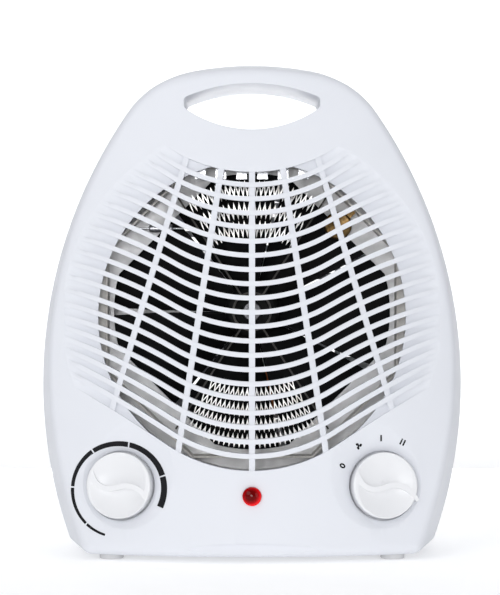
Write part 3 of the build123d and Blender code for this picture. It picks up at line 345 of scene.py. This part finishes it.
SCALE_R = 23.6                             # outer radius, mm
SCALE_FROM, SCALE_TO = 255.0, -22.0        # ends of the scale, degrees
SCALE_THIN, SCALE_WIDE = 1.1, 3.3          # width at the two ends, mm
SCALE_CENTRE = (-0.6, -1.9)                # from the knob's axis, mm
SCALE_STRETCH = 1.05                       # wider than it is high by this
SCALE_STEP = 3.0                           # degrees per face
SCALE_ACROSS = 3                           # faces across the width
GAPS = (228.0, 178.0, 125.0, 79.0, 18.0)   # where the scale is broken, degrees
GAP_TURN = 0.9                             # half of a gap, degrees


def scale_grids():
    """The thermostat scale: a wedge that widens clockwise, broken by narrow gaps."""
    edges = [SCALE_FROM]
    for gap in GAPS:
        edges += [gap + GAP_TURN, gap - GAP_TURN]
    edges.append(SCALE_TO)
    grids = []
    for start, end in zip(edges[::2], edges[1::2]):
        steps = max(4, int((start - end) / SCALE_STEP))
        rows = []
        for i in range(steps + 1):
            turn = start + (end - start) * i / steps
            share = (SCALE_FROM - turn) / (SCALE_FROM - SCALE_TO)
            width = SCALE_THIN + (SCALE_WIDE - SCALE_THIN) * share
            ring = [polar(SCALE_R - width * k / SCALE_ACROSS, turn) for k in range(SCALE_ACROSS + 1)]
            rows.append([(SCALE_CENTRE[0] + x * SCALE_STRETCH, SCALE_CENTRE[1] + y) for x, y in ring])
        grids.append(rows)
    return grids


def turned(points, turn, r):
    """Move symbol points (across, outward) to radius r at the given turn, top pointing outwards."""
    a = math.radians(turn)
    out_dir = (math.cos(a), math.sin(a))
    across = (math.sin(a), -math.cos(a))
    return [[(out_dir[0] * (r + v) + across[0] * u, out_dir[1] * (r + v) + across[1] * u) for u, v in row]
            for row in points]


def ring_symbol(w, h, stroke):
    """Upright oval ring, for the off mark."""
    rows = []
    for i in range(25):
        a = 2 * math.pi * i / 24
        row = []
        for inset in (0, stroke):
            row.append((math.cos(a) * (w / 2 - inset), math.sin(a) * (h / 2 - inset)))
        rows.append(row)
    return rows


def bar_symbol(x, h, stroke):
    """Upright bar at x, for the two heat marks."""
    return [[(x - stroke / 2, v), (x + stroke / 2, v)] for v in (-h / 2, 0.0, h / 2)]


def petal(turn):
    """One curved blade of the fan sign."""
    rows = []
    for i in range(7):
        share = i / 6
        r = 0.3 + 1.5 * share
        half = 36.0 * math.sin(math.pi * min(1.0, 0.25 + 0.75 * share)) + 7.0
        lead = turn + 24.0 * share
        rows.append([polar(r, lead - half), polar(r, lead), polar(r, lead + half)])
    return rows


def centre_dot(r):
    """Round hub of the fan sign."""
    return [[polar(r * k, 30.0 * i) for k in (0.02, 1.0)] for i in range(13)]


MARK_R = 23.2                                          # from the selector's axis, mm
OFF_TURN, FAN_TURN, ONE_TURN, TWO_TURN = 154.6, 122.7, 92.7, 65.0
BAR_H, BAR_STROKE, BAR_APART = 3.0, 0.8, 0.8           # height, thickness and half the pitch, mm
fan_sign = (petal(90.0), petal(210.0), petal(330.0), centre_dot(0.5))

printed("thermostat_scale", LEFT, scale_grids())
printed("mark_off", RIGHT, [turned(ring_symbol(2.3, 3.2, 0.75), OFF_TURN, MARK_R)])
printed("mark_fan", RIGHT, [turned(shape, FAN_TURN, MARK_R) for shape in fan_sign])
printed("mark_one", RIGHT, [turned(bar_symbol(0.0, BAR_H, BAR_STROKE), ONE_TURN, MARK_R)])
printed("mark_two", RIGHT, [turned(bar_symbol(x, BAR_H, BAR_STROKE), TWO_TURN, MARK_R)
                            for x in (-BAR_APART, BAR_APART)])


# ---------------------------------------------------------------- studio

SWEEP_HALF = 3.0       # half of the width, m
SWEEP_FRONT = -2.6     # front edge of the floor
SWEEP_BEND = 1.4       # where the floor starts to curve up
SWEEP_R = 0.7          # radius of the curve
SWEEP_STEPS = 12
SWEEP_TOP = 3.2


def studio():
    """Pale floor that sweeps up behind the heater."""
    verts = []
    faces = []
    profile = [(SWEEP_FRONT, 0.0), (SWEEP_BEND, 0.0)]
    for i in range(1, SWEEP_STEPS + 1):
        a = math.radians(90 * i / SWEEP_STEPS)
        profile.append((SWEEP_BEND + SWEEP_R * math.sin(a), SWEEP_R - SWEEP_R * math.cos(a)))
    profile.append((SWEEP_BEND + SWEEP_R, SWEEP_TOP))
    for y, z in profile:
        verts += [(-SWEEP_HALF, y, z), (SWEEP_HALF, y, z)]
    for i in range(len(profile) - 1):
        faces.append((2 * i, 2 * i + 1, 2 * i + 3, 2 * i + 2))
    mesh = bpy.data.meshes.new("sweep")
    mesh.from_pydata(verts, [], faces)
    for poly in mesh.polygons:
        poly.use_smooth = True
    obj = bpy.data.objects.new("sweep", mesh)
    scene.collection.objects.link(obj)
    mat, tn, links, shader = new_material("sweep_paper")
    grain = noise(tn, links, 30.0, 3.0)
    tone = ramp(tn, links, grain.outputs["Fac"], ((0.3, 0.90), (0.7, 0.92)))
    links.new(tone.outputs["Color"], shader.inputs["Base Color"])
    shader.inputs["Roughness"].default_value = 0.9
    shader.inputs["Specular IOR Level"].default_value = 0.1
    shader.inputs["Emission Color"].default_value = (1.0, 1.0, 1.0, 1.0)
    shader.inputs["Emission Strength"].default_value = 0.30
    mesh.materials.append(mat)


def area_light(name, place, target, size, power):
    """Soft light in metres and watts, itself out of the camera's sight."""
    data = bpy.data.lights.new(name, "AREA")
    data.shape = "RECTANGLE"
    data.size, data.size_y = size
    data.energy = power
    obj = bpy.data.objects.new(name, data)
    obj.location = place
    obj.rotation_euler = (Vector(target) - Vector(place)).to_track_quat("-Z", "Y").to_euler()
    obj.visible_camera = False
    scene.collection.objects.link(obj)


studio()
HEART = (0.0, 0.0, 0.125)      # middle of the heater
BACKDROP = (0.0, 2.1, 0.7)     # where the curve meets the upright part of the sweep
UNDER_TARGET = (0.0, 0.0, 0.24)
area_light("key", (-1.1, -1.8, 0.95), HEART, (1.2, 1.0), 9.5)
area_light("front", (-0.12, -1.9, 0.26), HEART, (0.4, 0.4), 9.6)
area_light("fill", (1.4, -1.8, 0.5), HEART, (0.9, 1.1), 5.0)
area_light("top", (0.0, -0.2, 1.7), HEART, (1.6, 1.2), 8.0)
area_light("back", (0.0, 0.75, 1.1), BACKDROP, (2.6, 0.6), 12.0)
area_light("under", (0.0, 0.5, 0.03), UNDER_TARGET, (0.4, 0.2), 1.2)

world = bpy.data.worlds.new("studio_air")
world.use_nodes = True
world.node_tree.nodes["Background"].inputs["Color"].default_value = (0.90, 0.93, 1.0, 1.0)
world.node_tree.nodes["Background"].inputs["Strength"].default_value = 0.30
scene.world = world
scene.view_settings.view_transform = "Standard"

# ---------------------------------------------------------------- camera

CAM_GAP = 1.0          # from the lens to the plane where the covers meet
PARTING_Y = 0.005      # that plane
CAM_Z = 0.126
camera_data = bpy.data.cameras.new("camera")
camera_data.sensor_fit = "HORIZONTAL"
camera_data.sensor_width = 36.0
camera_data.lens = 139.7
camera_data.shift_x = -0.004
camera_data.shift_y = 0.0122
camera = bpy.data.objects.new("camera", camera_data)
camera.location = (0.0, PARTING_Y - CAM_GAP, CAM_Z)
camera.rotation_euler = (math.radians(90.0), 0.0, 0.0)
scene.collection.objects.link(camera)
scene.camera = camera
